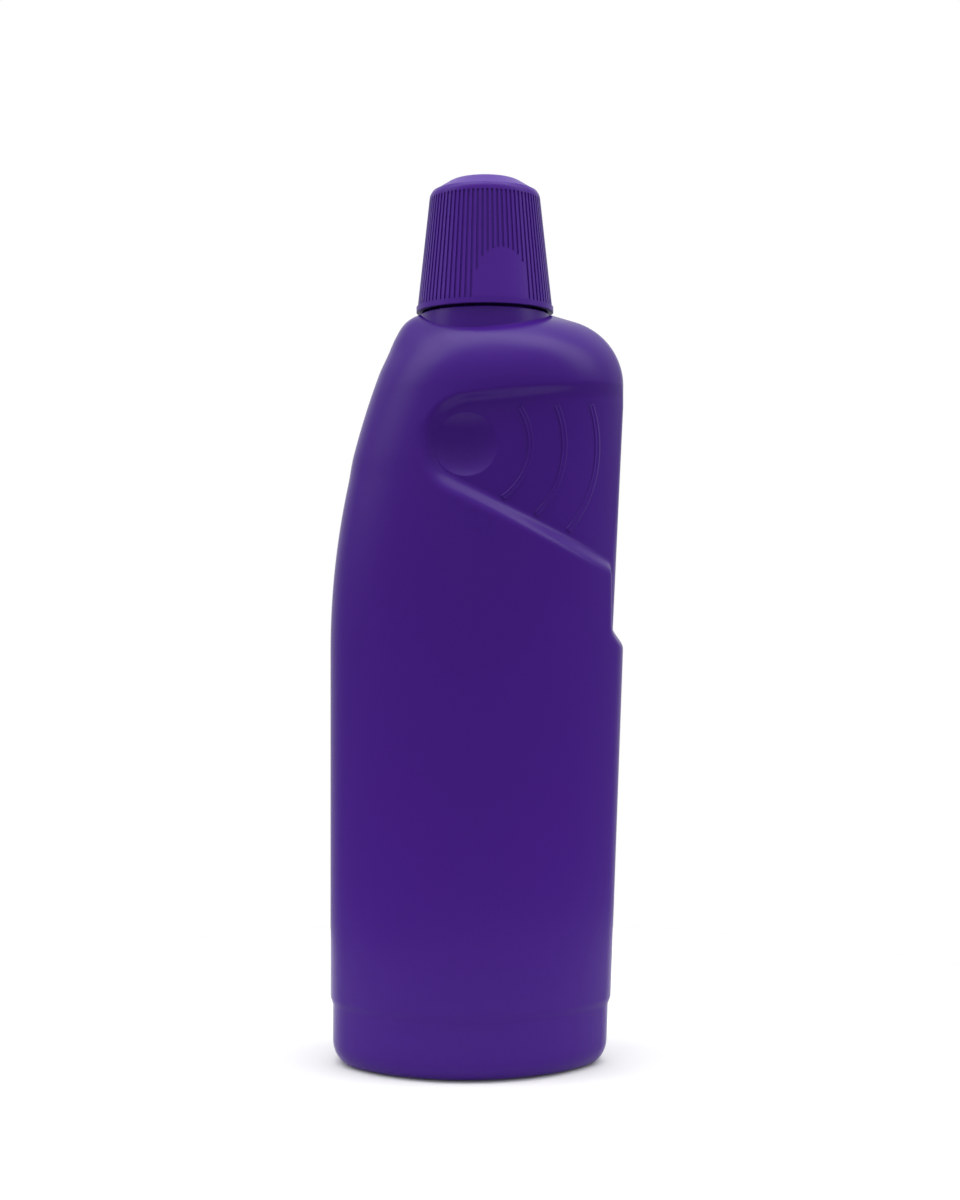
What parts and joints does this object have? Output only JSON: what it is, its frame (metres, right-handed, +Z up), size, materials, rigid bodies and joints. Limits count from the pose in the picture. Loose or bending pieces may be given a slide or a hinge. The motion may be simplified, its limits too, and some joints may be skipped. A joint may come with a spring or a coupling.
{
  "type": "detergent bottle",
  "caption": "Blow-moulded household detergent bottle with a wrap-round grip recess, thumb dish and arc ribs, and a tall ribbed screw cap that unscrews along its thread.",
  "frame": {"origin": "middle of the bounding box's lower face, where the bottle stands on the table", "axes": "+X across the width towards the handle side with the grip recess, +Y through the depth away from the front face, +Z up along the bottle towards the cap"},
  "size_m": [0.0958, 0.062, 0.2884],
  "materials": {
    "bottle_plastic": "satin blow-moulded polyethylene, dyed through",
    "cap_plastic": "satin injection-moulded polypropylene, dyed through",
    "seal_foam": "plain foamed polyethylene"
  },
  "bodies": {
    "bottle": {"bottle": "bottle_plastic"},
    "seal": {"seal_ring": "seal_foam"},
    "cap": {"cap": "cap_plastic"}
  },
  "joints": [
    {"name": "cap_lift", "type": "slide", "parent": "bottle", "child": "seal", "axis": [0, 0, 1], "range_m": [0, 0.0099]},
    {"name": "cap_turn", "type": "hinge", "parent": "seal", "child": "cap", "pos_m": [0.0026, 0, 0.2629], "axis": [0, 0, 1], "range_deg": [0, 840]}
  ],
  "couplings": [
    {"joint": "cap_lift", "follows": "cap_turn", "m_per_rad": 0.00066845}
  ]
}
